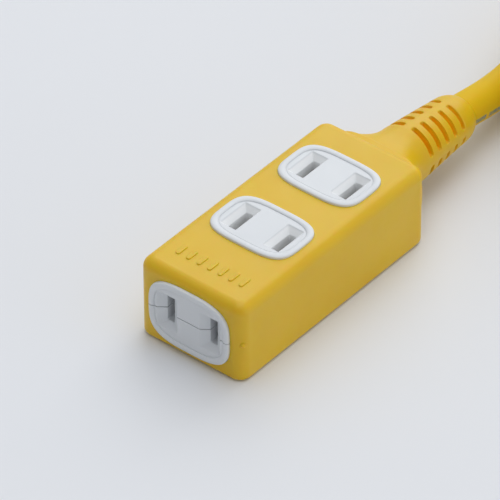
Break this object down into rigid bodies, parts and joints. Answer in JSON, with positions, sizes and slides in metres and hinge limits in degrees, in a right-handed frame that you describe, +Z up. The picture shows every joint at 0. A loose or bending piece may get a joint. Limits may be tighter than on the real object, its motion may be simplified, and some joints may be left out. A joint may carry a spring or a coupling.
{
  "type": "extension cord",
  "caption": "Moulded multi-outlet extension cord with sockets on its top and end, a slotted strain relief, and a round cord folded into a tied hank with its flat-blade plug.",
  "frame": {"origin": "bottom centre of the tap with its strain relief, without the free cord and plug", "axes": "+Z up out of the top outlets, +Y from the end outlet towards the cord, +X across the tap"},
  "size_m": [0.084, 0.3221, 0.0465],
  "materials": {
    "yellow_pvc": "soft satin, slightly translucent vinyl",
    "cord_pvc": "smooth satin vinyl sheath",
    "white_plastic": "satin moulded thermoplastic",
    "brass": "stamped sheet, bright",
    "copper": "bare stranded copper",
    "blade_metal": "nickel-plated brass",
    "black_wire": "matt vinyl insulation",
    "pale_wire": "matt vinyl insulation",
    "tie_strap": "woven hook-and-loop strap"
  },
  "bodies": {
    "root": {"outer_body": "yellow_pvc", "core_top": "white_plastic", "core_base": "white_plastic", "front_contact_left": "brass", "front_contact_right": "brass", "rear_contact_left": "brass", "rear_contact_right": "brass", "end_contact_left": "brass", "end_contact_right": "brass", "bus_bar_left": "brass", "bus_bar_right": "brass", "crimp_left": "brass", "crimp_right": "brass", "wire_strands_left": "copper", "wire_strands_right": "copper", "wire_left": "black_wire", "wire_right": "pale_wire", "sheath_end": "cord_pvc", "cord": "cord_pvc", "cord_hank": "cord_pvc", "cord_tail": "cord_pvc", "hank_tie": "tie_strap", "plug_body": "yellow_pvc", "plug_core": "white_plastic", "plug_blade_left": "blade_metal", "plug_blade_right": "blade_metal", "plug_wire_left": "black_wire", "plug_wire_right": "pale_wire", "plug_sheath_end": "cord_pvc"}
  },
  "joints": []
}
